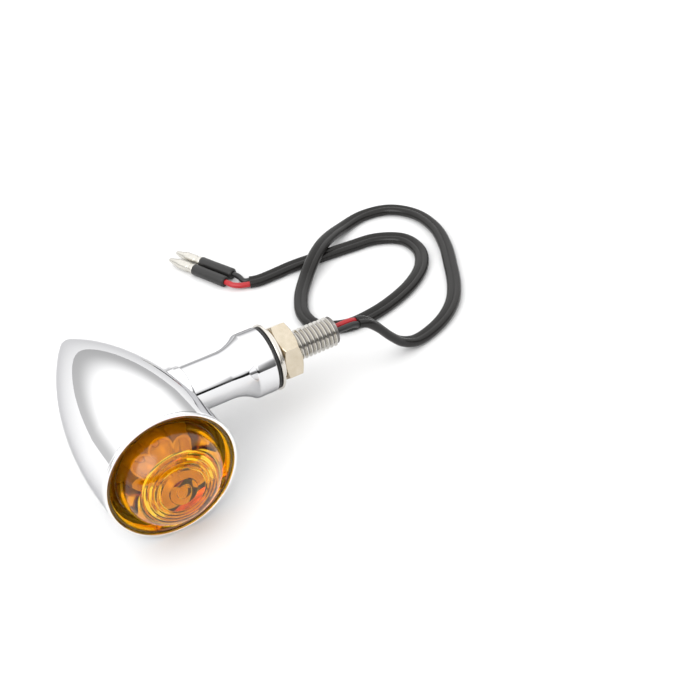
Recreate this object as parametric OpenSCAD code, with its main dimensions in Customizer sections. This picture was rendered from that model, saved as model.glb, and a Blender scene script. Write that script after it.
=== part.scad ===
// Bullet turn signal lamp on a hollow M10 stud.
// Row frame: +X runs along the stem from the head to the stud's free end, the lens faces -Y, +Z is up.
// The origin is the centre of the stem's seat face, where the stem meets a bracket.
// All sizes are in millimetres.

/* [Head housing] */
// Distance from the seat face to the head's axis
head_x = 48; // [46:0.5:60]
// Radius of the housing at its front edge
rim_r = 21; // [20.8:0.1:21.6]
// Distance from the stem's axis forward to the front edge
rim_y = 34; // [33:0.5:38]
// Length of the nearly straight front section
front_len = 15; // [12:0.5:18]
// Radius of the housing where the front section meets the ogive
waist_r = 20.8; // [20.6:0.1:21]
// Radius of the ogive's arc
ogive_r = 140; // [135:1:150]
// Distance from the stem's axis forward to the centre of the ogive's arc
ogive_y = 24; // [22:0.5:26]
// Radius of the rounded nose
nose_r = 3.6; // [3:0.1:5]
// Wall thickness of the ogive
wall = 2.2; // [2:0.1:2.6]
// Radius of the flat boss that the stem seats on
boss_r = 8.4; // [8:0.1:9]

/* [Lens] */
// Radius of the lens's flange
lens_r = 20; // [19.8:0.1:20]
// Radius of the dome where it rises from the flange
dome_r = 16.2; // [15:0.1:16.5]
// Distance from the stem's axis forward to the dome's foot
dome_y = 30.8; // [30:0.1:31.4]
// Height of the dome above its foot
dome_h = 12.8; // [11:0.1:14]
// Thickness of the dome
dome_wall = 2; // [1.5:0.1:2.5]
// Number of ridges round the dome's inner face
ring_count = 4; // [3:1:5]
// Height of those ridges
ridge_h = 0.9; // [0.5:0.1:0.9]

/* [Light] */
// Number of reflector cups, each with one LED
cup_count = 8; // [6:2:10]
// Radius of the circle that the cups lie on
cup_ring_r = 8.4; // [8.2:0.1:8.6]
// Radius of each spherical cup
cup_r = 3.6; // [3.4:0.1:3.7]
// Turn of the cups about the head's axis
cup_turn = 5; // [0:1:10]
// Radius of one LED
led_r = 1.5; // [1.2:0.1:1.5]

/* [Stem] */
// Radius of the stem's straight part
stem_r = 7.75; // [7.5:0.05:8]
// Distance from the seat face back to the start of the flare
flare_x = 14.5; // [14:0.1:18]
// Radius of the flare's concave arc
flare_r = 12; // [11:0.5:14]
// Length of the flare's concave arc along the stem
flare_len = 7.4; // [6.5:0.1:7.6]

/* [Stud and nut] */
// Radius of the hollow bolt's thread crest
stud_r = 4.95; // [4.9:0.01:4.95]
// Distance from the seat face to the stud's free end
stud_end_x = 24.8; // [22:0.1:40]
// Radius of the bolt's bore
bolt_bore_r = 3; // [2.8:0.1:3.2]
// Width of the nut across its flats
nut_af = 17; // [16:0.5:18]
// Thickness of the nut
nut_t = 6.3; // [5:0.1:6.5]

/* [Cable] */
// Width of the flat twin cable
cable_w = 5; // [4.8:0.1:5.2]
// Thickness of the flat twin cable
cable_t = 3; // [2.8:0.1:3]
// Radius of each lead's insulation
lead_r = 1; // [0.9:0.05:1.1]
// Radius of the bullet terminals
bullet_r = 1.75; // [1.65:0.05:1.8]
// Radius of the insulating sleeves
sleeve_r = 2; // [1.95:0.05:2.05]

/* [Hidden] */
$fn = 96;

slack = 0.1;                      // gap between faces that turn or slide on each other

// places along the head's axis, counted along +Y
front_y = -rim_y;
waist_y = front_y + front_len;
flange_y = -33.7;                 // front edge of the lens's flange
lens_back_y = -29.1;
seal_y = -28;                     // shoulder that the seal lies on
reflector_front_y = -31;
board_y = -23.5;                  // front face of the LED board
board_t = 1.6;
screw_ring_r = 5.2;
screw_r = 0.8;
ledge_y = board_y + board_t;      // shoulder that the board lies on
lens_bore_r = lens_r + slack;
cavity_r = 18.7;
ledge_r = 17.2;

// the ogive's arc, whose centre lies outside the head
ogive_c = waist_r - sqrt(pow(ogive_r, 2) - pow(waist_y + ogive_y, 2));
nose_y = sqrt(pow(ogive_r - nose_r, 2) - pow(ogive_c, 2)) - ogive_y;
nose_angle = atan2(-ogive_c, nose_y + ogive_y);
cavity_end_y = 40;
inner_ogive_r = ogive_r - wall;
inner_start_y = sqrt(pow(inner_ogive_r, 2) - pow(ledge_r - ogive_c, 2)) - ogive_y;

// places along the stem's axis, counted along +X
boss_x = -27.1;
pad_x = -34.4;                    // face inside the housing that the bolt's head bears on
bolt_head_t = 4.5;
bolt_head_af = 15;
bolt_hole_r = stud_r + 0.08;
flare_angle = asin(flare_len / flare_r);
flare_top_r = stem_r + flare_r * (1 - cos(flare_angle));
shoulder_r = 1.5;                 // convex arc between the flare and the bell
bell_r = flare_top_r + shoulder_r * (1 - cos(flare_angle));
shoulder_x = -flare_x + flare_len + shoulder_r * sin(flare_angle);
seat_r = 10.3;
rubber_t = 1;
washer_t = 1;
spring_t = 1.2;
washer_x = rubber_t + 0.02;
spring_x = washer_x + washer_t + 0.02;
nut_x = spring_x + spring_t + 0.05;
nut_corner_r = nut_af / sqrt(3);
nut_turn = 25;                    // turn of the nut's corners about the stem's axis
relief_x = 9.8;                   // one thread groove beside the nut
relief_w = 0.7;
relief_r = 4.55;
grommet_len = 5;

// the surface that the lamp and its cable lie on
floor_z = -rim_r;
flat_z = floor_z + cable_t / 2 + 0.05;
hump_z = flat_z + cable_t + 0.25;
lead_y = 1.15;                    // distance of each lead from the bolt's axis
tail_z = floor_z + sleeve_r + 0.05;

// the cable's centre line, from the sheath's first end beside the stud to its far end
cable_path = [
    [33.4, 0, -0.75], [36.5, 0, -1.9], [40.5, 0.2, -5.8], [44.8, 0.6, -11.4], [49.5, 1.2, -16.3],
    [55, 2, -18.9], [62, 4, flat_z], [70, 8, flat_z], [77, 14, flat_z], [83, 22.5, flat_z],
    [88.5, 33.5, flat_z],
    [93.5, 45, flat_z], [96.5, 57, flat_z], [95.5, 69, flat_z], [89.5, 77.5, flat_z], [80, 80, flat_z],
    [70, 77, -19], [62, 72, -17.2], [55.5, 67, hump_z], [49.5, 62, -16.9], [43, 56, -18.9],
    [36.5, 47.5, flat_z], [32.5, 38, flat_z], [33.5, 29.5, flat_z], [41, 24, flat_z], [51, 24, flat_z],
    [62, 27, flat_z], [72, 32, flat_z], [80, 39, flat_z], [84.5, 48, flat_z], [83.5, 57.5, flat_z],
    [76, 63.5, flat_z], [66, 65, flat_z], [55, 66, flat_z], [44, 67, flat_z], [34.5, 66.6, flat_z],
    [29.5, 66.7, flat_z], [26.8, 67.6, flat_z]
];

// the leads from inside the bolt to the sheath
lead_path = [[-20, 0, 0], [2, 0, 0], [24.8, 0, 0], [29, 0, 0], [31.6, 0, -0.1], [33.3, 0, -0.7]];

// the leads from the sheath's far end to the terminals
red_tail_path = [[26.38, 66.52, flat_z], [25.2, 66.92, flat_z], [23, 67.9, -19.4], [21.1, 69.4, -19.2],
                 [20.34, 70.8, -19], [19.86, 72.05, tail_z]];
black_tail_path = [[27.11, 68.71, flat_z], [25.9, 69.12, flat_z], [25.25, 70.2, -19.4], [25.2, 71.9, -19.2],
                   [24.78, 73.45, -19], [24.26, 74.75, tail_z]];

// the leads inside the head, from the board to the bolt's bore
red_inner_path = [[-50, ledge_y + 0.05, 3], [-50, -13, 3], [-49, -8, 2.6], [-47, -3.5, 1.6], [-44, 0, 0.6],
                  [-41, lead_y, 0], [-36, lead_y, 0], [-20.5, lead_y, 0]];
black_inner_path = [[-46, ledge_y + 0.05, -3], [-46, -14, -3], [-46, -9.5, -2.6], [-45.5, -5.5, -1.4],
                    [-44, -2.6, -0.4], [-41.5, -lead_y, 0], [-36, -lead_y, 0], [-20.5, -lead_y, 0]];

// each terminal's rear end and its turn about the vertical
red_end = [19.8, 72.2, tail_z];
red_turn = 111;
black_end = [24.2, 74.9, tail_z];
black_turn = 112;
sleeve_len = 15.2;
bullet_len = 12;
barrel_len = 4.2;

function unit(v) = v / norm(v);

// turn of a cup, or of a screw where i is a half
function cup_angle(i) = cup_turn + i * 360 / cup_count;

// direction of a path at point i
function heading(path, i) =
    unit(path[min(i + 1, len(path) - 1)] - path[max(i - 1, 0)]);

// one corner of a ring: a along the level sideways direction, b along the direction square to both
function ring_point(at, ahead, a, b) =
    let (side = unit(cross(ahead, [0, 0, 1])))
    at + side * a + cross(side, ahead) * b;

// outline of a flat twin cable as pairs of sideways and upward distances
function flat_outline(w, t, n) = [
    for (i = [0 : n - 1])
        let (a = (i + 0.5) * 360 / n)
        [sign(cos(a)) * (w - t) / 2 + cos(a) * t / 2, sin(a) * t / 2]
];

function round_outline(r, n) = [for (i = [0 : n - 1]) [r * cos(i * 360 / n), r * sin(i * 360 / n)]];

// sweeps an outline along a path as one closed polyhedron
module sweep(path, outline) {
    n = len(outline);
    last = len(path) - 1;
    points = [
        for (i = [0 : last], o = outline)
            ring_point(path[i], heading(path, i), o[0], o[1])
    ];
    sides = [
        for (i = [0 : last - 1], j = [0 : n - 1])
            let (k = (j + 1) % n, a = i * n + j, b = i * n + k)
            each [[a, b, b + n], [a, b + n, a + n]]
    ];
    near_end = [for (j = [n - 1 : -1 : 0]) j];
    far_end = [for (j = [0 : n - 1]) last * n + j];
    polyhedron(points, concat([near_end, far_end], sides));
}

// stands a shape that was drawn around Z on the stem's axis, with Z along +X
module on_stem(x = 0) {
    translate([x, 0, 0]) rotate([0, 90, 0]) children();
}

// turns a profile of [radius, Y] points into a body on the head's axis
module on_head(profile) {
    translate([-head_x, 0, 0]) rotate([-90, 0, 0]) rotate_extrude() polygon(profile);
}

// stands a shape that was drawn around Z in the head, with Z along -Y, at a radius and angle
module in_head(y, r = 0, angle = 0) {
    translate([-head_x + r * cos(angle), y, r * sin(angle)]) rotate([90, 0, 0]) children();
}

// stands a shape at the two screws that hold the reflector
module at_screws(y) {
    for (i = [0, cup_count / 2])
        in_head(y, screw_ring_r, cup_angle(i + 0.5)) children();
}

module tube(h, r, hole_r) {
    difference() {
        cylinder(h = h, r = r);
        translate([0, 0, -1]) cylinder(h = h + 2, r = hole_r);
    }
}

// points of an arc about the ogive's centre, from place y0 to angle a1
function ogive_arc(radius, y0, a1, n) =
    let (a0 = acos((y0 + ogive_y) / radius))
    [for (i = [0 : n]) let (a = a0 + (a1 - a0) * i / n)
        [ogive_c + radius * sin(a), radius * cos(a) - ogive_y]];

module housing() {
    lip = 0.5;
    nose_steps = 8;
    outer = concat(
        [[0, front_y], [rim_r - lip, front_y], [rim_r - lip * 0.3, front_y + lip * 0.3],
         [rim_r, front_y + lip]],
        ogive_arc(ogive_r, waist_y, nose_angle, 28),
        [for (i = [1 : nose_steps]) let (a = nose_angle * (1 - i / nose_steps))
            [nose_r * sin(a), nose_y + nose_r * cos(a)]]
    );
    cavity = concat(
        [[0, front_y - 1], [lens_bore_r, front_y - 1], [lens_bore_r, seal_y], [cavity_r, seal_y],
         [cavity_r, ledge_y], [ledge_r, ledge_y]],
        ogive_arc(inner_ogive_r, inner_start_y, acos((cavity_end_y + ogive_y) / inner_ogive_r), 16),
        [[0, cavity_end_y]]
    );
    color("gainsboro") difference() {
        union() {
            difference() {
                union() {
                    on_head(outer);
                    on_stem(boss_x - 6) cylinder(h = 6, r = boss_r);
                }
                on_head(cavity);
            }
            // pad inside the wall that the bolt's head bears on
            on_stem(pad_x) cylinder(h = 5, r = 8.8);
        }
        on_stem(pad_x - 1) cylinder(h = boss_x - pad_x + 2, r = bolt_hole_r);
    }
}

// height of the dome's outside at a radius, as a Y place
function dome_at(r) = -dome_y - dome_h * pow(1 - pow(r / dome_r, 2.4), 1 / 2.4);

module lens() {
    dome_steps = 18;
    rings_end_r = 11.7;
    smooth_end_r = 6.7;
    ring_w = (rings_end_r - smooth_end_r) / ring_count;
    inner_r = dome_r - dome_wall;
    outside = [for (i = [0 : dome_steps])
        let (a = 90 * i / dome_steps, r = dome_r * sin(a))
        [r, dome_at(r)]];
    // ridges on the dome's inner face, from the middle outwards
    middle = [
        [0, dome_at(2.1) + dome_wall], [2.1, dome_at(2.1) + dome_wall],
        [2.3, dome_at(2.1) + dome_wall + 0.35],
        [4.2, dome_at(4.2) + dome_wall], [4.4, dome_at(4.2) + dome_wall + 0.35]
    ];
    ridges = [for (i = [0 : ring_count - 1])
        let (r = smooth_end_r + i * ring_w, y = dome_at(r) + dome_wall)
        each [[r, y], [r + 0.3, y + ridge_h], [r + 0.65, y + ridge_h]]];
    inside = concat(middle, ridges, [[rings_end_r, dome_at(rings_end_r) + dome_wall]]);
    profile = concat(
        outside,
        [[lens_r - 0.6, flange_y], [lens_r, flange_y + 0.4], [lens_r, lens_back_y],
         [inner_r, lens_back_y], [inner_r - 0.3, -32.6], [inner_r - 1.1, -35.6]],
        [for (i = [len(inside) - 1 : -1 : 0]) inside[i]]
    );
    color("darkorange", 0.6) on_head(profile);
}

module lens_seal() {
    color("dimgray") in_head(seal_y - 0.02)
        tube(seal_y - lens_back_y - 0.06, lens_r - 0.1, cavity_r + 0.2);
}

// cups whose walls make a scalloped outline
module reflector() {
    cup_wall = 0.35;
    depth = board_y - reflector_front_y - slack;
    cup_y = reflector_front_y + 1.2;
    color("silver") difference() {
        union() {
            in_head(board_y - slack) cylinder(h = depth, r = cup_ring_r + 1);
            for (i = [0 : cup_count - 1])
                in_head(board_y - slack, cup_ring_r, cup_angle(i)) cylinder(h = depth, r = cup_r + cup_wall);
        }
        for (i = [0 : cup_count - 1]) {
            in_head(cup_y, cup_ring_r, cup_angle(i)) sphere(r = cup_r);
            in_head(board_y + 1, cup_ring_r, cup_angle(i)) cylinder(h = depth, r = led_r + 0.05);
        }
        in_head(cup_y) sphere(r = cup_r);
        in_head(board_y + 1) cylinder(h = depth, r = led_r + 0.05);
        at_screws(board_y + 1) cylinder(h = 4.2, r = screw_r + 0.05);
    }
}

module led_board() {
    color("seagreen") difference() {
        in_head(ledge_y - 0.02) cylinder(h = board_t - 0.04, r = cavity_r - 0.2);
        at_screws(ledge_y + 1) cylinder(h = board_t + 2, r = screw_r + 0.15);
    }
}

// one LED, standing on the board's front face
module led() {
    cylinder(h = 2.4, r = led_r);
    translate([0, 0, 2.4]) sphere(r = led_r);
}

module leds() {
    color("khaki") {
        for (i = [0 : cup_count - 1])
            in_head(board_y, cup_ring_r, cup_angle(i)) led();
        in_head(board_y) led();
    }
}

module resistors() {
    color("black") for (i = [0 : 3])
        in_head(ledge_y + 0.7, 11, i * 90 + 45) rotate([0, 0, i * 90]) translate([-1.6, -0.8, 0])
            cube([3.2, 1.6, 0.7]);
}

module board_screws() {
    head_t = 1.1;
    color("silver") at_screws(ledge_y + head_t) {
        cylinder(h = head_t, r = 1.6);
        cylinder(h = head_t + 4.6, r = screw_r);
    }
}

module stem() {
    flare_steps = 12;
    shoulder_steps = 5;
    edge = 0.35;
    flare = [for (i = [0 : flare_steps]) let (a = flare_angle * i / flare_steps)
        [stem_r + flare_r * (1 - cos(a)), -flare_x + flare_r * sin(a)]];
    shoulder = [for (i = [1 : shoulder_steps]) let (a = flare_angle * (1 - i / shoulder_steps))
        [bell_r - shoulder_r * (1 - cos(a)), shoulder_x - shoulder_r * sin(a)]];
    outline = concat(
        [[stud_r + slack, boss_x + slack], [stem_r - edge, boss_x + slack], [stem_r, boss_x + slack + edge]],
        flare, shoulder,
        [[bell_r, -(bell_r - seat_r)], [seat_r, 0], [stud_r + slack, 0]]
    );
    color("gainsboro") on_stem() rotate_extrude() polygon(outline);
}

module hollow_bolt() {
    tip = 0.6;
    shank_x = pad_x - slack;
    color("lightgray") difference() {
        on_stem() rotate_extrude() polygon([
            [0, shank_x - 1], [stud_r, shank_x - 1], [stud_r, relief_x], [relief_r, relief_x],
            [relief_r, relief_x + relief_w], [stud_r, relief_x + relief_w], [stud_r, stud_end_x - tip],
            [stud_r - tip, stud_end_x], [0, stud_end_x]
        ]);
        on_stem(shank_x - 2) cylinder(h = stud_end_x - shank_x + 4, r = bolt_bore_r);
    }
    color("lightgray") on_stem(shank_x - bolt_head_t) difference() {
        cylinder(h = bolt_head_t, r = bolt_head_af / sqrt(3), $fn = 6);
        translate([0, 0, -1]) cylinder(h = bolt_head_t + 2, r = bolt_bore_r);
    }
}

module lead_grommet() {
    color("black") difference() {
        on_stem(stud_end_x - grommet_len - 0.4) cylinder(h = grommet_len, r = bolt_bore_r - 0.02);
        for (s = [-1, 1])
            translate([0, s * lead_y, 0]) on_stem(stud_end_x - grommet_len - 1)
                cylinder(h = grommet_len + 2, r = lead_r + 0.05);
    }
}

module rubber_washer() {
    color("black") on_stem(0.02) tube(rubber_t - 0.02, seat_r, 5.3);
}

module flat_washer() {
    color("silver") on_stem(washer_x) tube(washer_t, 10.9, 5.25);
}

// split ring
module spring_washer() {
    color("silver") on_stem(spring_x) difference() {
        tube(spring_t, 9.1, 5.15);
        rotate([0, 0, 200]) translate([5, -0.5, -1]) cube([6, 1, spring_t + 2]);
    }
}

module hex_nut() {
    bore_r = stud_r + 0.07;
    lead_in = 0.5;                // chamfer at each end of the thread
    face_r = nut_af / 2 - 0.25;   // radius of the round end faces
    clear_r = nut_corner_r + 1;
    chamfer_t = (clear_r - face_r) * tan(30);
    color("wheat") on_stem(nut_x) intersection() {
        rotate([0, 0, nut_turn]) cylinder(h = nut_t, r = nut_corner_r, $fn = 6);
        rotate_extrude() polygon([
            [bore_r, lead_in], [bore_r + lead_in, 0], [face_r, 0], [clear_r, chamfer_t],
            [clear_r, nut_t - chamfer_t], [face_r, nut_t], [bore_r + lead_in, nut_t],
            [bore_r, nut_t - lead_in]
        ]);
    }
}

module lead(path, tint) {
    color(tint) sweep(path, round_outline(lead_r, 8));
}

module red_lead() {
    lead([for (p = lead_path) p + [0, lead_y, 0]], "red");
}

module black_lead() {
    lead([for (p = lead_path) p - [0, lead_y, 0]], "dimgray");
}

module red_tail() {
    lead(red_tail_path, "red");
}

module black_tail() {
    lead(black_tail_path, "dimgray");
}

module red_inner_lead() {
    lead(red_inner_path, "red");
}

module black_inner_lead() {
    lead(black_inner_path, "dimgray");
}

module cable() {
    color("dimgray") sweep(cable_path, flat_outline(cable_w, cable_t, 10));
}

// stands a shape that was drawn around Z at a terminal's rear end, with Z along the terminal
module at_end(end, turn) {
    translate(end) rotate([0, 0, turn]) rotate([0, 90, 0]) children();
}

// soft sleeve over a terminal's crimp
module sleeve() {
    difference() {
        rotate_extrude() polygon([
            [0, 0.1], [sleeve_r - 0.4, 0.1], [sleeve_r, 0.6], [sleeve_r, sleeve_len - 0.2],
            [sleeve_r - 0.2, sleeve_len], [0, sleeve_len]
        ]);
        translate([0, 0, sleeve_len - 6]) cylinder(h = 7, r = bullet_r - 0.1);
    }
}

// bullet terminal: a collar, a neck, a straight barrel and a hollow, tapered nose
module terminal() {
    neck_r = bullet_r - 0.3;
    tip_r = 0.75;
    throat_r = 0.45;
    root_z = sleeve_len - 5.8;
    barrel_z = sleeve_len + 2.8;
    tip_z = sleeve_len + bullet_len;
    rotate_extrude() polygon([
        [0, root_z], [bullet_r - 0.15, root_z], [bullet_r - 0.15, sleeve_len + 0.1],
        [bullet_r, sleeve_len + 0.3], [bullet_r, sleeve_len + 1.4], [neck_r, sleeve_len + 1.7],
        [neck_r, barrel_z - 0.3], [bullet_r, barrel_z], [bullet_r, barrel_z + barrel_len],
        [tip_r, tip_z], [throat_r, tip_z], [throat_r, tip_z - 3], [0, tip_z - 3]
    ]);
}

module red_sleeve() {
    color("black") at_end(red_end, red_turn) sleeve();
}

module black_sleeve() {
    color("black") at_end(black_end, black_turn) sleeve();
}

module red_terminal() {
    color("silver") at_end(red_end, red_turn) terminal();
}

module black_terminal() {
    color("silver") at_end(black_end, black_turn) terminal();
}

housing();
lens();
lens_seal();
reflector();
led_board();
leds();
resistors();
board_screws();
red_inner_lead();
black_inner_lead();
stem();
hollow_bolt();
lead_grommet();
rubber_washer();
flat_washer();
spring_washer();
hex_nut();
red_lead();
black_lead();
cable();
red_tail();
black_tail();
red_sleeve();
black_sleeve();
red_terminal();
black_terminal();
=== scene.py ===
"""Looks of the bullet turn signal lamp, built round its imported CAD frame.

Lengths are in millimetres in the row frame: +X along the stem towards the stud's free end,
the lens faces -Y, +Z up, and the origin is the centre of the stem's seat face.
"""

import math

import bmesh
import bpy
from mathutils import Matrix, Vector


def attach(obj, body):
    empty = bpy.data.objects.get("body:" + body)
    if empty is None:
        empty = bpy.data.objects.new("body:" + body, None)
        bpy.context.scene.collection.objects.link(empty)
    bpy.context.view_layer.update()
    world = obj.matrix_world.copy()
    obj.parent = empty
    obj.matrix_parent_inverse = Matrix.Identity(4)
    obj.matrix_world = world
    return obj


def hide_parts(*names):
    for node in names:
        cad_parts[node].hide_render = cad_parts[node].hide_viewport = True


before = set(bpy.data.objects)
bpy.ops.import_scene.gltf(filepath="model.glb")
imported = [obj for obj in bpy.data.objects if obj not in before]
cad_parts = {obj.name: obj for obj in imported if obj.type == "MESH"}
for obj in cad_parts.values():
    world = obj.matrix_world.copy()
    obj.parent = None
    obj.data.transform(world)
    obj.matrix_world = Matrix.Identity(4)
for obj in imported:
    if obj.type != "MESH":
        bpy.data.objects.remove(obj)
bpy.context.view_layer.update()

MM = 0.001
TURNS = 192                     # steps round a turned part
FINE_TURNS = 256                # steps round the large bright parts

# head, all about an axis that is parallel to Y
HEAD_X = -48.0
RIM_R = 21.0
RIM_Y = -34.0
WAIST_Y = -19.0
WAIST_R = 20.8
OGIVE_R = 140.0
OGIVE_Y = -24.0
NOSE_R = 3.6
WALL = 2.2
LENS_BORE_R = 20.1
SEAL_Y = -28.0                  # shoulder that the seal lies on
CAVITY_R = 18.7
LEDGE_R = 17.2
LEDGE_Y = -21.9                 # shoulder that the board lies on
CAVITY_END_Y = 40.0
BOSS_R = 8.4
BOSS_X = -27.1
PAD_X = -34.4                   # face inside the housing that the bolt's head bears on
DOME_R = 16.2
DOME_Y = -30.8
DOME_H = 12.8
DOME_WALL = 2.0
FLANGE_R = 20.0
FLANGE_Y = -33.7                # front edge of the lens's flange
FLANGE_BACK_Y = -29.1

# stem and stud, all about the X axis
STEM_R = 7.75
STEM_BORE_R = 5.05
FLARE_X = -14.5
FLARE_R = 12.0
FLARE_LEN = 7.4
SHOULDER_R = 1.5
SEAT_R = 10.3
STUD_R = 4.95
STUD_END = 24.8
PITCH = 1.5
BORE_R = 3.0
NUT_X = 3.31
NUT_T = 6.3
NUT_AF = 17.0
NUT_TURN = 25.0

# cable and leads
CABLE_W = 5.0
CABLE_T = 3.0
LEAD_R = 1.0
LEAD_Y = 1.15
FLOOR_Z = -21.0
FLAT_Z = FLOOR_Z + CABLE_T / 2 + 0.05
HUMP_Z = FLAT_Z + CABLE_T + 0.25
SLEEVE_R = 2.0
SLEEVE_LEN = 15.2
BULLET_R = 1.75
BULLET_LEN = 12.0
TAIL_Z = FLOOR_Z + SLEEVE_R + 0.05


# ---------------------------------------------------------------- camera

def add_camera():
    """The main view: from the front and above, on the head's side, and rolled a little."""
    azimuth, elevation, roll = math.radians(-25.64), math.radians(36.39), math.radians(-7.01)
    back = Vector((math.sin(azimuth) * math.cos(elevation), -math.cos(azimuth) * math.cos(elevation),
                   math.sin(elevation)))
    level = Vector((math.cos(azimuth), math.sin(azimuth), 0))
    rise = back.cross(level)
    right = level * math.cos(roll) + rise * math.sin(roll)
    up = rise * math.cos(roll) - level * math.sin(roll)
    data = bpy.data.cameras.new("camera")
    data.lens = 92.57
    data.sensor_width = 36.0
    data.clip_start = 0.01
    data.clip_end = 50.0
    camera = bpy.data.objects.new("camera", data)
    bpy.context.scene.collection.objects.link(camera)
    place = (right * 26.76 + up * 2.78 + back * 561.15) * MM
    camera.matrix_world = Matrix.Translation(place) @ Matrix((right, up, back)).transposed().to_4x4()
    bpy.context.scene.camera = camera


# ---------------------------------------------------------------- materials

def new_material(name, colour, metallic=0.0, roughness=0.4, **inputs):
    """A plain Principled material; inputs are more of its sockets, with _ for a space."""
    material = bpy.data.materials.new(name)
    material.use_nodes = True
    shader = material.node_tree.nodes["Principled BSDF"]
    shader.inputs["Base Color"].default_value = (*colour, 1)
    shader.inputs["Metallic"].default_value = metallic
    shader.inputs["Roughness"].default_value = roughness
    for socket, value in inputs.items():
        shader.inputs[socket.replace("_", " ")].default_value = value
    return material


def add_grain(material, scale, bump, dark=None):
    """Fine unevenness: noise drives a bump and, if dark is given, mottles the colour towards it."""
    tree = material.node_tree
    shader = tree.nodes["Principled BSDF"]
    place = tree.nodes.new("ShaderNodeTexCoord")
    texture = tree.nodes.new("ShaderNodeTexNoise")
    texture.inputs["Scale"].default_value = scale
    texture.inputs["Detail"].default_value = 4.0
    tree.links.new(place.outputs["Object"], texture.inputs["Vector"])
    if bump:
        lift = tree.nodes.new("ShaderNodeBump")
        lift.inputs["Strength"].default_value = 0.6
        lift.inputs["Distance"].default_value = bump * MM
        tree.links.new(texture.outputs["Fac"], lift.inputs["Height"])
        tree.links.new(lift.outputs["Normal"], shader.inputs["Normal"])
    if dark:
        mix = tree.nodes.new("ShaderNodeMix")
        mix.data_type = "RGBA"
        mix.inputs["A"].default_value = shader.inputs["Base Color"].default_value
        mix.inputs["B"].default_value = (*dark, 1)
        tree.links.new(texture.outputs["Fac"], mix.inputs["Factor"])
        tree.links.new(mix.outputs["Result"], shader.inputs["Base Color"])
    return material


chrome = new_material("chrome", (0.9, 0.9, 0.905), 1.0, 0.03, Specular_Tint=(0.55, 0.55, 0.56, 1))
add_grain(chrome, 60, 0.004)
# a darker copy of the chrome for the stem: painted shade for the greyer reflections along it
shaded_stem_chrome = new_material("shaded_stem_chrome", (0.74, 0.74, 0.75), 1.0, 0.04, Specular_Tint=(0.4, 0.4, 0.41, 1))
add_grain(shaded_stem_chrome, 60, 0.004)
amber = new_material("amber_lens", (0.92, 0.55, 0.02), 0.0, 0.02, Transmission_Weight=1.0, IOR=1.49,
                     Specular_IOR_Level=0.35)
# the housing's inner walls are coloured dark reddish brown: painted shade for the deep cavity seen through
# the lens
cavity_shade = add_grain(new_material("painted_shade_cavity", (0.09, 0.04, 0.02), 0.0, 0.6), 700, 0.02)
mirror = new_material("reflector_metal", (0.98, 0.86, 0.6), 0.2, 0.3)
add_grain(mirror, 900, 0.02)
board = add_grain(new_material("board", (0.09, 0.045, 0.02), 0.0, 0.5), 400, 0.0, (0.13, 0.065, 0.03))
led_resin = new_material("led_resin", (0.95, 0.8, 0.4), 0.0, 0.12)
chip = add_grain(new_material("chip", (0.02, 0.02, 0.022), 0.0, 0.45), 900, 0.01)
steel = add_grain(new_material("steel", (0.6, 0.59, 0.58), 1.0, 0.28), 700, 0.01)
stud_metal = add_grain(new_material("stud_metal", (0.6, 0.58, 0.54), 1.0, 0.16), 900, 0.012)
# a much darker copy of the stud's metal: painted shade for the thread's valleys
thread_groove_shade = add_grain(new_material("thread_groove_shade", (0.2, 0.19, 0.18), 1.0, 0.3), 900, 0.012)
nut_metal = add_grain(new_material("nut_metal", (0.68, 0.61, 0.5), 1.0, 0.15), 350, 0.012, (0.48, 0.41, 0.3))
washer_metal = add_grain(new_material("washer_metal", (0.66, 0.63, 0.58), 1.0, 0.2), 500, 0.01)
rubber = add_grain(new_material("rubber", (0.008, 0.008, 0.008), 0.0, 0.5), 900, 0.02)
sheath = new_material("sheath", (0.006, 0.0055, 0.005), 0.0, 0.27, Specular_IOR_Level=0.3)
add_grain(sheath, 500, 0.03, (0.012, 0.011, 0.01))
red_pvc = add_grain(new_material("red_pvc", (0.42, 0.008, 0.014), 0.0, 0.3), 700, 0.01, (0.34, 0.006, 0.01))
black_pvc = add_grain(new_material("black_pvc", (0.009, 0.009, 0.009), 0.0, 0.32), 700, 0.01)
sleeve_pvc = add_grain(new_material("sleeve_pvc", (0.012, 0.0115, 0.011), 0.0, 0.42), 600, 0.04)
tin = add_grain(new_material("tin", (0.7, 0.68, 0.63), 1.0, 0.24), 900, 0.02, (0.55, 0.53, 0.48))


# ---------------------------------------------------------------- mesh making

def add_mesh(name, points, faces, material, body, stands_for=(), sharp=38):
    """A shown piece from points in millimetres, smooth except along edges sharper than sharp degrees."""
    mesh = bpy.data.meshes.new(name)
    mesh.from_pydata([Vector(p) * MM for p in points], [], faces)
    shell = bmesh.new()
    shell.from_mesh(mesh)
    bmesh.ops.remove_doubles(shell, verts=shell.verts, dist=1e-7)
    bmesh.ops.recalc_face_normals(shell, faces=shell.faces)
    shell.to_mesh(mesh)
    shell.free()
    mesh.shade_smooth()
    mesh.set_sharp_from_angle(angle=math.radians(sharp))
    mesh.materials.append(material)
    piece = bpy.data.objects.new(name, mesh)
    bpy.context.scene.collection.objects.link(piece)
    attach(piece, body)
    if stands_for:
        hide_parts(*stands_for)
    return piece


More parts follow.
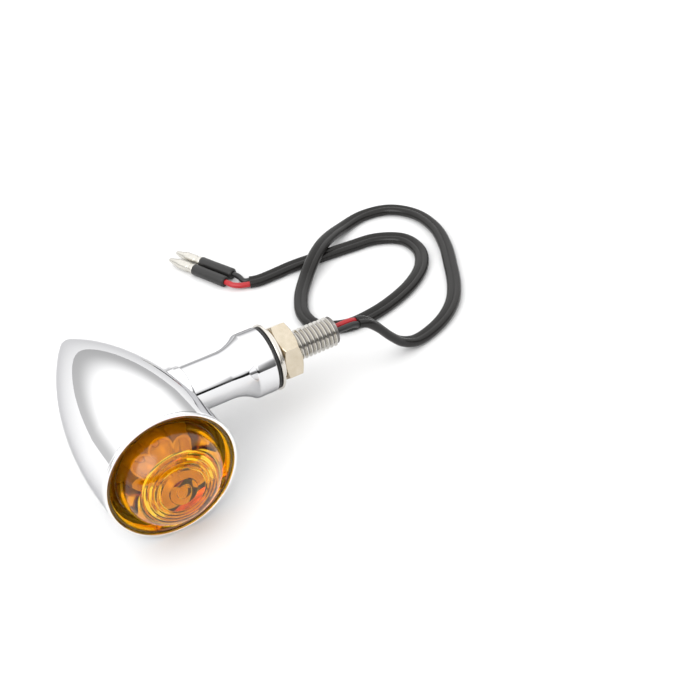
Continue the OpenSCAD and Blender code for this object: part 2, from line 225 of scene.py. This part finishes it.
def rounded(corners, steps=4):
    """A closed outline from corners (radius, along, fillet), each corner rounded by its fillet."""
    outline = []
    for i, (r, s, fillet) in enumerate(corners):
        here = Vector((r, s))
        if fillet <= 0:
            outline.append((r, s))
            continue
        before = Vector(corners[i - 1][:2]) - here
        after = Vector(corners[(i + 1) % len(corners)][:2]) - here
        half = before.angle(after) / 2
        reach = min(fillet / math.tan(half), before.length * 0.45, after.length * 0.45)
        radius = reach * math.tan(half)
        bisector = (before.normalized() + after.normalized()).normalized()
        centre = here + bisector * radius / math.sin(half)
        start = here + before.normalized() * reach - centre
        end = here + after.normalized() * reach - centre
        swing = start.angle_signed(end)
        for k in range(steps + 1):
            turn = -swing * k / steps
            outline.append((centre.x + start.x * math.cos(turn) - start.y * math.sin(turn),
                            centre.y + start.x * math.sin(turn) + start.y * math.cos(turn)))
    return outline


def about_head(r, s, turn):
    return (HEAD_X + r * math.cos(turn), s, r * math.sin(turn))


def about_stem(r, s, turn):
    return (s, r * math.cos(turn), r * math.sin(turn))


def lathe(outline, place, closed=True, steps=TURNS):
    """Points and faces of an outline of (radius, along) turned about an axis."""
    points, rings = [], []
    for r, s in outline:
        if r < 1e-6:
            rings.append([len(points)] * steps)
            points.append(place(0, s, 0))
        else:
            rings.append(list(range(len(points), len(points) + steps)))
            points += [place(r, s, math.tau * k / steps) for k in range(steps)]
    faces = []
    count = len(rings) if closed else len(rings) - 1
    for i in range(count):
        a, b = rings[i], rings[(i + 1) % len(rings)]
        for k in range(steps):
            n = (k + 1) % steps
            face = list(dict.fromkeys((a[k], a[n], b[n], b[k])))
            if len(face) > 2:
                faces.append(face)
    return points, faces


def combined(obj, tool, operation):
    """Adds or cuts away tool, which is then removed."""
    step = obj.modifiers.new("step", "BOOLEAN")
    step.operation = operation
    step.solver = "EXACT"
    step.object = tool
    graph = bpy.context.evaluated_depsgraph_get()
    mesh = bpy.data.meshes.new_from_object(obj.evaluated_get(graph))
    obj.modifiers.clear()
    obj.data = mesh
    bpy.data.objects.remove(tool)


def tool_mesh(outline, place, steps=96):
    """A plain turned solid to combine with another, in metres."""
    points, faces = lathe(outline, place, True, steps)
    mesh = bpy.data.meshes.new("tool")
    mesh.from_pydata([Vector(p) * MM for p in points], [], faces)
    shell = bmesh.new()
    shell.from_mesh(mesh)
    bmesh.ops.recalc_face_normals(shell, faces=shell.faces)
    shell.to_mesh(mesh)
    shell.free()
    tool = bpy.data.objects.new("tool", mesh)
    bpy.context.scene.collection.objects.link(tool)
    return tool


# ---------------------------------------------------------------- cords

def curve_through(knots, spacing):
    """Points about spacing apart on a smooth line through the knots (centripetal Catmull-Rom)."""
    knots = [Vector(k) for k in knots]
    ends = [knots[0] * 2 - knots[1]] + knots + [knots[-1] * 2 - knots[-2]]
    line = []
    for p0, p1, p2, p3 in zip(ends, ends[1:], ends[2:], ends[3:]):
        t1 = math.sqrt((p1 - p0).length)
        t2 = t1 + math.sqrt((p2 - p1).length)
        t3 = t2 + math.sqrt((p3 - p2).length)
        steps = max(2, round((p2 - p1).length / spacing))
        for k in range(steps):
            t = t1 + (t2 - t1) * k / steps
            a1 = p0 * (t1 - t) / t1 + p1 * t / t1
            a2 = p1 * (t2 - t) / (t2 - t1) + p2 * (t - t1) / (t2 - t1)
            a3 = p2 * (t3 - t) / (t3 - t2) + p3 * (t - t2) / (t3 - t2)
            b1 = a1 * (t2 - t) / t2 + a2 * t / t2
            b2 = a2 * (t3 - t) / (t3 - t1) + a3 * (t - t1) / (t3 - t1)
            line.append(b1 * (t2 - t) / (t2 - t1) + b2 * (t - t1) / (t2 - t1))
    return line + [knots[-1]]


def swept(line, outline, roll=None):
    """Points and faces of an outline of (sideways, up) swept along a line.

    roll gives the outline's turn in degrees at a share of the line.
    """
    n, last = len(outline), len(line) - 1
    points = []
    for i, at in enumerate(line):
        ahead = (line[min(i + 1, last)] - line[max(i - 1, 0)]).normalized()
        side = ahead.cross(Vector((0, 0, 1))).normalized()
        up = side.cross(ahead)
        turn = math.radians(roll(i / last)) if roll else 0.0
        a = side * math.cos(turn) + up * math.sin(turn)
        b = up * math.cos(turn) - side * math.sin(turn)
        points += [at + a * x + b * y for x, y in outline]
    faces = [(i * n + j, i * n + (j + 1) % n, (i + 1) * n + (j + 1) % n, (i + 1) * n + j)
             for i in range(last) for j in range(n)]
    faces += [tuple(range(n - 1, -1, -1)), tuple(range(last * n, last * n + n))]
    return points, faces


def disc_outline(radius, steps=24):
    return [(radius * math.cos(math.tau * k / steps), radius * math.sin(math.tau * k / steps))
            for k in range(steps)]


def twin_outline(steps=48):
    """Flat twin cable: a stadium with a shallow groove down each broad side."""
    outline = []
    for k in range(steps):
        a = math.tau * (k + 0.5) / steps
        x = math.copysign((CABLE_W - CABLE_T) / 2, math.cos(a)) + math.cos(a) * CABLE_T / 2
        y = math.sin(a) * CABLE_T / 2
        outline.append((x, y))
    filled = []
    for (x0, y0), (x1, _) in zip(outline, outline[1:] + outline[:1]):
        filled.append((x0, y0))
        if x0 * x1 < 0:
            filled += [(x0 + (x1 - x0) * f, y0) for f in (0.2, 0.35, 0.5, 0.65, 0.8)]
    return [(x, y * (1 - 0.3 * math.exp(-(x / 0.45) ** 2))) for x, y in filled]


def cable_roll(share):
    """The cable's turn about its own line, in degrees, at a share of its length."""
    return 14 * math.sin(math.tau * 2.5 * share) * math.sin(math.pi * share)


cable_knots = [
    (33.4, 0, -0.75), (36.5, 0, -1.9), (40.5, 0.2, -5.8), (44.8, 0.6, -11.4), (49.5, 1.2, -16.3),
    (55, 2, -18.9), (62, 4, FLAT_Z), (70, 8, FLAT_Z), (77, 14, FLAT_Z), (83, 22.5, FLAT_Z),
    (88.5, 33.5, FLAT_Z), (93.5, 45, FLAT_Z), (96.5, 57, FLAT_Z), (95.5, 69, FLAT_Z),
    (89.5, 77.5, FLAT_Z), (80, 80, FLAT_Z), (70, 77, -19), (62, 72, -17.2), (55.5, 67, HUMP_Z),
    (49.5, 62, -16.9), (43, 56, -18.9), (36.5, 47.5, FLAT_Z), (32.5, 38, FLAT_Z),
    (33.5, 29.5, FLAT_Z), (41, 24, FLAT_Z), (51, 24, FLAT_Z), (62, 27, FLAT_Z), (72, 32, FLAT_Z),
    (80, 39, FLAT_Z), (84.5, 48, FLAT_Z), (83.5, 57.5, FLAT_Z), (76, 63.5, FLAT_Z),
    (66, 65, FLAT_Z), (55, 66, FLAT_Z), (44, 67, FLAT_Z), (34.5, 66.6, FLAT_Z),
    (29.5, 66.7, FLAT_Z), (26.8, 67.6, FLAT_Z),
]
lead_knots = [(-20, 0, 0), (2, 0, 0), (24.8, 0, 0), (29, 0, 0), (31.6, 0, -0.1), (33.6, 0, -0.85)]
red_tail_knots = [(26.6, 66.44, FLAT_Z), (25.2, 66.92, FLAT_Z), (23, 67.9, -19.4), (21.1, 69.4, -19.2),
                  (20.34, 70.8, -19), (19.7, 72.45, TAIL_Z)]
black_tail_knots = [(27.3, 68.64, FLAT_Z), (25.9, 69.12, FLAT_Z), (25.25, 70.2, -19.4), (25.2, 71.9, -19.2),
                    (24.78, 73.45, -19), (24.11, 75.12, TAIL_Z)]


def add_cable():
    line = curve_through(cable_knots, 1.2)
    for i, at in enumerate(line):
        at.z += (CABLE_W - CABLE_T) / 2 * abs(math.sin(math.radians(cable_roll(i / (len(line) - 1)))))
    points, faces = swept(line, twin_outline(), cable_roll)
    return add_mesh("cable_sheath", points, faces, sheath, "stem", ["cable"], 50), line


def add_lead(name, knots, shift, material, stands_for):
    line = curve_through([Vector(k) + Vector(shift) for k in knots], 0.8)
    points, faces = swept(line, disc_outline(LEAD_R))
    return add_mesh(name, points, faces, material, "stem", [stands_for], 60)


def at_end(end, turn):
    """Places a lathed terminal: along is the distance from its rear end."""
    ahead = Vector((math.cos(math.radians(turn)), math.sin(math.radians(turn)), 0))
    side = Vector((-ahead.y, ahead.x, 0))
    up = Vector((0, 0, 1))

    def place(r, s, angle):
        return Vector(end) + ahead * s + (side * math.cos(angle) + up * math.sin(angle)) * r
    return place


def add_terminal(colour, end, turn):
    place = at_end(end, turn)
    sleeve = rounded([(0, 0.1, 0), (1.5, 0.1, 0.3), (SLEEVE_R, 0.7, 0.5), (SLEEVE_R - 0.05, 8, 0),
                      (SLEEVE_R, SLEEVE_LEN, 0.25), (BULLET_R - 0.1, SLEEVE_LEN, 0.1),
                      (BULLET_R - 0.1, SLEEVE_LEN - 6, 0), (0, SLEEVE_LEN - 6, 0)])
    points, faces = lathe(sleeve, place, False, 64)
    cover = add_mesh(colour + "_sleeve_cover", points, faces, sleeve_pvc, "stem",
                     [colour + "_sleeve"])
    front = SLEEVE_LEN + 2.8
    tip = SLEEVE_LEN + BULLET_LEN
    bullet = rounded([(0, SLEEVE_LEN - 5.8, 0), (BULLET_R - 0.15, SLEEVE_LEN - 5.8, 0),
                      (BULLET_R - 0.15, SLEEVE_LEN + 0.1, 0.1), (BULLET_R, SLEEVE_LEN + 0.3, 0.15),
                      (BULLET_R, SLEEVE_LEN + 1.4, 0.15), (BULLET_R - 0.3, SLEEVE_LEN + 1.7, 0.1),
                      (BULLET_R - 0.3, front - 0.3, 0.1), (BULLET_R, front, 0.2),
                      (BULLET_R, front + 4.2, 1.2), (0.75, tip, 0.15), (0.45, tip, 0.1),
                      (0.45, tip - 3, 0), (0, tip - 3, 0)])
    points, faces = lathe(bullet, place, False, 48)
    pin = add_mesh(colour + "_bullet", points, faces, tin, "stem",
                   [colour + "_terminal"], 30)
    return [cover, pin]


add_camera()
cable, cable_line = add_cable()
red_lead = add_lead("red_lead_wire", lead_knots, (0, LEAD_Y, 0), red_pvc, "red_lead")
black_lead = add_lead("black_lead_wire", lead_knots, (0, -LEAD_Y, 0), black_pvc,
                      "black_lead")
red_tail = add_lead("red_tail_wire", red_tail_knots, (0, 0, 0), red_pvc, "red_tail")
black_tail = add_lead("black_tail_wire", black_tail_knots, (0, 0, 0), black_pvc,
                      "black_tail")
ends = add_terminal("red", (19.8, 72.2, TAIL_Z), 111) + add_terminal("black", (24.2, 74.9, TAIL_Z), 112)
[p * MM for p in cable_line]


# ---------------------------------------------------------------- head

def is_inside(face):
    """True for a face of the head's shell that looks towards the head's axis, behind the lens's seat."""
    out = Vector((face.center.x / MM - HEAD_X, 0, face.center.z / MM))
    return face.center.y / MM > SEAL_Y - 0.5 and face.normal.dot(out) < 0


def add_housing():
    centre_r = WAIST_R - math.sqrt(OGIVE_R ** 2 - (WAIST_Y - OGIVE_Y) ** 2)
    nose_y = OGIVE_Y + math.sqrt((OGIVE_R - NOSE_R) ** 2 - centre_r ** 2)
    nose_a = math.atan2(-centre_r, nose_y - OGIVE_Y)
    # a fine groove sets the rim off from the body
    skin = [(RIM_R, -33.1), (RIM_R - 0.35, -32.95), (RIM_R - 0.35, -32.7), (RIM_R - 0.04, -32.55),
            (RIM_R - 0.06, -28), (RIM_R - 0.13, -23), (WAIST_R, WAIST_Y)]
    start_a = math.acos((WAIST_Y - OGIVE_Y) / OGIVE_R)
    for k in range(1, 61):
        a = start_a + (nose_a - start_a) * k / 60
        skin.append((centre_r + OGIVE_R * math.sin(a), OGIVE_Y + OGIVE_R * math.cos(a)))
    for k in range(1, 17):
        a = nose_a * (1 - k / 16)
        skin.append((NOSE_R * math.sin(a), nose_y + NOSE_R * math.cos(a)))
    inner_start = OGIVE_Y + math.sqrt((OGIVE_R - WALL) ** 2 - (LEDGE_R - centre_r) ** 2)
    inside = [(0, CAVITY_END_Y)]
    for k in range(13):
        y = CAVITY_END_Y + (inner_start - CAVITY_END_Y) * k / 12
        inside.append((centre_r + math.sqrt((OGIVE_R - WALL) ** 2 - (y - OGIVE_Y) ** 2), y))
    inside += [(LEDGE_R, LEDGE_Y), (CAVITY_R, LEDGE_Y), (CAVITY_R, SEAL_Y), (LENS_BORE_R, SEAL_Y)]
    lip = rounded([(LENS_BORE_R, SEAL_Y, 0), (LENS_BORE_R, RIM_Y, 0.3), (RIM_R, RIM_Y, 0.42),
                   (RIM_R, -33.4, 0)], 8)[1:-1]
    points, faces = lathe(skin + inside + lip, about_head, True, FINE_TURNS)
    shell = add_mesh("housing_shell", points, faces, chrome, "head", ["housing"], 32)
    shell.data.materials.append(cavity_shade)
    # the faces inside the cavity take the painted shade
    for face in shell.data.polygons:
        if face.center.y / MM < CAVITY_END_Y - 1 and is_inside(face):
            face.material_index = 1
    boss = rounded([(0, -33.2, 0), (BOSS_R, -33.2, 0), (BOSS_R, BOSS_X, 0.35), (0, BOSS_X, 0)])
    pad = [(0, PAD_X), (8.8, PAD_X), (8.8, -29.4), (0, -29.4)]
    hole = [(0, -36), (STEM_BORE_R, -36), (STEM_BORE_R, -26), (0, -26)]
    combined(shell, tool_mesh(boss, about_stem), "UNION")
    combined(shell, tool_mesh(pad, about_stem), "UNION")
    combined(shell, tool_mesh(hole, about_stem), "DIFFERENCE")
    shell.data.set_sharp_from_angle(angle=math.radians(32))
    return shell


def dome_at(r):
    return DOME_Y - DOME_H * (1 - (r / DOME_R) ** 2.4) ** (1 / 2.4)


def add_lens():
    outside = []
    for k in range(49):
        a = math.pi / 2 * k / 48
        r = DOME_R * math.sin(a)
        outside.append((r, dome_at(min(r, DOME_R))))
    flange = rounded([(DOME_R, DOME_Y, 0), (16.6, DOME_Y, 0.25), (19.4, FLANGE_Y, 0.35),
                      (FLANGE_R, -33.3, 0.25), (FLANGE_R, FLANGE_BACK_Y, 0.1), (14.2, FLANGE_BACK_Y, 0.2),
                      (13.9, -32.6, 0), (13.1, -35.6, 0)])[1:]
    # two low steps, then four ridges, on the dome's inner face
    inside = [(0, dome_at(2.1) + DOME_WALL)]
    for r in (2.1, 4.2):
        y = dome_at(r) + DOME_WALL
        inside += [(r, y), (r + 0.2, y + 0.35)]
    for r in (6.7, 7.95, 9.2, 10.45):
        y = dome_at(r) + DOME_WALL
        inside += [(r, y), (r + 0.3, y + 0.9), (r + 0.65, y + 0.9)]
    inside.append((11.7, dome_at(11.7) + DOME_WALL))
    points, faces = lathe(outside + flange + inside[::-1], about_head, False, FINE_TURNS)
    return add_mesh("lens_moulding", points, faces, amber, "lens", ["lens"], 25)


add_housing()
add_lens()


# ---------------------------------------------------------------- stem, stud, nut and washers

def add_stem():
    swing = math.asin(FLARE_LEN / FLARE_R)
    top_r = STEM_R + FLARE_R * (1 - math.cos(swing))
    bell_r = top_r + SHOULDER_R * (1 - math.cos(swing))
    shoulder_x = FLARE_X + FLARE_LEN + SHOULDER_R * math.sin(swing)
    skin = []
    for k in range(33):
        a = swing * k / 32
        skin.append((STEM_R + FLARE_R * (1 - math.cos(a)), FLARE_X + FLARE_R * math.sin(a)))
    for k in range(1, 13):
        a = swing * (1 - k / 12)
        skin.append((bell_r - SHOULDER_R * (1 - math.cos(a)), shoulder_x - SHOULDER_R * math.sin(a)))
    rear = rounded([(STEM_R, FLARE_X, 0), (STEM_R, -27, 0.35), (STEM_BORE_R, -27, 0), (STEM_BORE_R, 0, 0),
                    (SEAT_R, 0, 0.15), (bell_r, -0.4, 0.25), (bell_r, shoulder_x, 0)])[1:-1]
    points, faces = lathe(skin + rear[::-1], about_stem, True, FINE_TURNS)
    return add_mesh("stem_sleeve", points, faces, shaded_stem_chrome, "stem", ["stem"], 32)


def add_stud():
    """The visible length of the hollow bolt, with a right-hand thread that ends in a chamfer."""
    steps = 96
    start, end = -2.0, STUD_END
    root_r = STUD_R - 0.7
    # one turn's profile as (share of the pitch, radius)
    profile = [(0.0, root_r), (0.14, root_r), (0.44, STUD_R), (0.6, STUD_R), (0.9, root_r), (1.0, root_r)]
    points, faces = [], []
    total = int((end - start) / PITCH * steps) + steps
    for i in range(total + 1):
        turn = math.tau * i / steps
        for share, r in profile:
            x = start - PITCH + PITCH * (i / steps + share)
            x = min(max(x, start), end)
            r = min(r, root_r + 0.1 + (end - x) * 1.1)
            points.append((x, r * math.cos(turn), r * math.sin(turn)))
    n = len(profile)
    for i in range(total):
        for j in range(n - 1):
            a, b = i * n + j, (i + 1) * n + j
            faces.append((a, b, b + 1, a + 1))
    base = len(points)
    tube, skin = lathe(rounded([(root_r, start, 0), (root_r + 0.02, end - 0.02, 0), (root_r - 0.2, end, 0.1),
                                (BORE_R, end, 0.2), (BORE_R, start, 0)])[1:], about_stem, False, steps)
    points += tube
    faces += [tuple(base + k for k in face) for face in skin]
    thread = add_mesh("stud_thread", points, faces, stud_metal, "stem", ["hollow_bolt"], 28)
    thread.data.materials.append(thread_groove_shade)
    # faces near the root radius (the thread's valleys, the core and the inner part of the end face) take the
    # painted shade
    for face in thread.data.polygons:
        r = math.hypot(face.center.y, face.center.z) / MM
        if BORE_R + 0.3 < r < root_r + 0.3:
            face.material_index = 1
    return thread


def hex_r(turn, flats):
    """Radius of a hexagon with that size across its flats, at an angle from a corner."""
    swing = (turn % (math.tau / 6)) - math.tau / 12
    return flats / 2 / math.cos(swing)


def hexagon(flats, near, far, bore_r, corner_turn, steps=288):
    """A chamfered hexagon head or nut about the X axis, from near to far."""
    face_r = flats / 2 - 0.25
    slope = math.tan(math.radians(30))
    points, faces = [], []
    for k in range(steps):
        turn = math.tau * k / steps
        r = hex_r(turn, flats)
        fall = (r - face_r) * slope
        outline = [(bore_r, near + 0.5), (bore_r + 0.5, near), (face_r - 0.12, near),
                   (face_r + 0.06, near + 0.05), (r - 0.08, near + fall - 0.02), (r, near + fall + 0.1),
                   (r, far - fall - 0.1), (r - 0.08, far - fall + 0.02), (face_r + 0.06, far - 0.05),
                   (face_r - 0.12, far), (bore_r + 0.5, far), (bore_r, far - 0.5)]
        angle = math.radians(corner_turn) + turn
        points += [(s, q * math.cos(angle), q * math.sin(angle)) for q, s in outline]
    n = len(outline)
    for k in range(steps):
        a, b = k * n, ((k + 1) % steps) * n
        for j in range(n):
            faces.append((a + j, b + j, b + (j + 1) % n, a + (j + 1) % n))
    return points, faces


def add_spring_washer():
    """A split ring whose ends stand a little apart."""
    steps = 120
    outline = rounded([(5.15, 2.1, 0.12), (9.1, 2.1, 0.2), (9.1, 3.2, 0.2), (5.15, 3.2, 0.12)])
    n = len(outline)
    points = []
    for k in range(steps + 1):
        turn = math.radians(204 + 353 * k / steps)
        points += [about_stem(r, s, turn) for r, s in outline]
    faces = [(k * n + j, (k + 1) * n + j, (k + 1) * n + (j + 1) % n, k * n + (j + 1) % n)
             for k in range(steps) for j in range(n)]
    faces += [tuple(range(n)), tuple(range(steps * n, steps * n + n))]
    return add_mesh("spring_washer_ring", points, faces, washer_metal, "washers",
                    ["spring_washer"])


def add_washer(name, corners, material, stands_for):
    """A flat ring about the stem."""
    points, faces = lathe(rounded(corners), about_stem)
    return add_mesh(name, points, faces, material, "washers", [stands_for])


add_stem()
add_stud()
shank, shank_faces = lathe([(BORE_R, -38.9), (STUD_R, -38.9), (STUD_R, -2.0), (BORE_R, -2.0)], about_stem,
                           True, 96)
add_mesh("bolt_shank", shank, shank_faces, steel, "stem")
head, head_faces = hexagon(15.0, -39.0, -34.5, STUD_R, 0)
add_mesh("bolt_head", head, head_faces, steel, "stem", sharp=25)
add_washer("rubber_ring", [(5.3, 0.03, 0.1), (10.3, 0.03, 0.3), (10.3, 1.0, 0.3), (5.3, 1.0, 0.1)],
           rubber, "rubber_washer")
add_washer("flat_washer_ring", [(5.25, 1.03, 0.1), (10.9, 1.03, 0.22), (10.9, 2.0, 0.3), (5.25, 2.0, 0.1)],
           washer_metal, "flat_washer")
add_spring_washer()
nut, nut_faces = hexagon(NUT_AF, NUT_X, NUT_X + NUT_T - 0.04, STUD_R + 0.07, NUT_TURN)
add_mesh("nut_body", nut, nut_faces, nut_metal, "nut", ["hex_nut"], 25)


# ---------------------------------------------------------------- CAD nodes that are shown as they are

for node, material in {
    "lens_seal": rubber, "reflector": mirror, "led_board": board, "leds": led_resin, "resistors": chip,
    "board_screws": steel, "red_inner_lead": red_pvc, "black_inner_lead": black_pvc, "lead_grommet": rubber,
}.items():
    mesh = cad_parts[node].data
    mesh.materials.clear()
    mesh.materials.append(material)


# ---------------------------------------------------------------- floor and light

def add_floor():
    mesh = bpy.data.meshes.new("floor")
    size, z = 6.0, (FLOOR_Z - 0.02) * MM
    corners = [(-size, -size, z), (size, -size, z), (size, size, z), (-size, size, z)]
    mesh.from_pydata(corners, [], [(0, 1, 2, 3)])
    mesh.materials.append(new_material("floor", (0.74, 0.74, 0.74), 0.0, 0.9, Specular_IOR_Level=0.0))
    floor = bpy.data.objects.new("floor", mesh)
    bpy.context.scene.collection.objects.link(floor)


def add_world():
    """A bright tent that greys towards the horizon, with a lamp, a dark slot and a darker side."""
    world = bpy.data.worlds.new("studio")
    world.use_nodes = True
    bpy.context.scene.world = world
    tree = world.node_tree
    link = tree.links.new
    back = tree.nodes["Background"]
    place = tree.nodes.new("ShaderNodeTexCoord")
    split = tree.nodes.new("ShaderNodeSeparateXYZ")
    link(place.outputs["Generated"], split.inputs["Vector"])

    def ramp(source, stops):
        node = tree.nodes.new("ShaderNodeMapRange")
        node.interpolation_type = "SMOOTHSTEP"
        link(source, node.inputs["Value"])
        for socket, value in zip(("From Min", "To Min", "From Max", "To Max"), (*stops[0], *stops[1])):
            node.inputs[socket].default_value = value
        return node.outputs["Result"]

    def towards(direction, stops):
        node = tree.nodes.new("ShaderNodeVectorMath")
        node.operation = "DOT_PRODUCT"
        node.inputs[1].default_value = Vector(direction).normalized()
        link(place.outputs["Generated"], node.inputs[0])
        return ramp(node.outputs["Value"], stops)

    def joined(operation, one, other):
        node = tree.nodes.new("ShaderNodeMath")
        node.operation = operation
        link(one, node.inputs[0])
        link(other, node.inputs[1])
        return node.outputs["Value"]

    tent = ramp(split.outputs["Z"], ((0.08, 0.66), (0.45, 1.5)))
    lamp = towards((-0.7, -0.4, 0.6), ((0.86, 0.0), (0.96, 3.0)))
    slot = joined("MULTIPLY", towards((-0.43, -0.9, 0.0), ((0.6, 0.0), (0.85, 1.0))),
                  ramp(split.outputs["Z"], ((0.12, 1.0), (0.24, 0.0))))
    side = joined("MULTIPLY", towards((0.75, -0.6, 0.1), ((0.7, 0.0), (0.92, 1.0))),
                  ramp(split.outputs["Z"], ((0.3, 1.0), (0.6, 0.0))))
    light = joined("MULTIPLY", joined("ADD", tent, lamp), ramp(slot, ((0.0, 1.0), (1.0, 0.03))))
    back.inputs["Color"].default_value = (1, 1, 1, 1)
    link(joined("MULTIPLY", light, ramp(side, ((0.0, 1.0), (1.0, 0.25)))), back.inputs["Strength"])


add_floor()
add_world()
bpy.context.scene.view_settings.view_transform = "Standard"
bpy.context.scene.cycles.max_bounces = 24
bpy.context.scene.cycles.glossy_bounces = 12
bpy.context.scene.cycles.transmission_bounces = 24
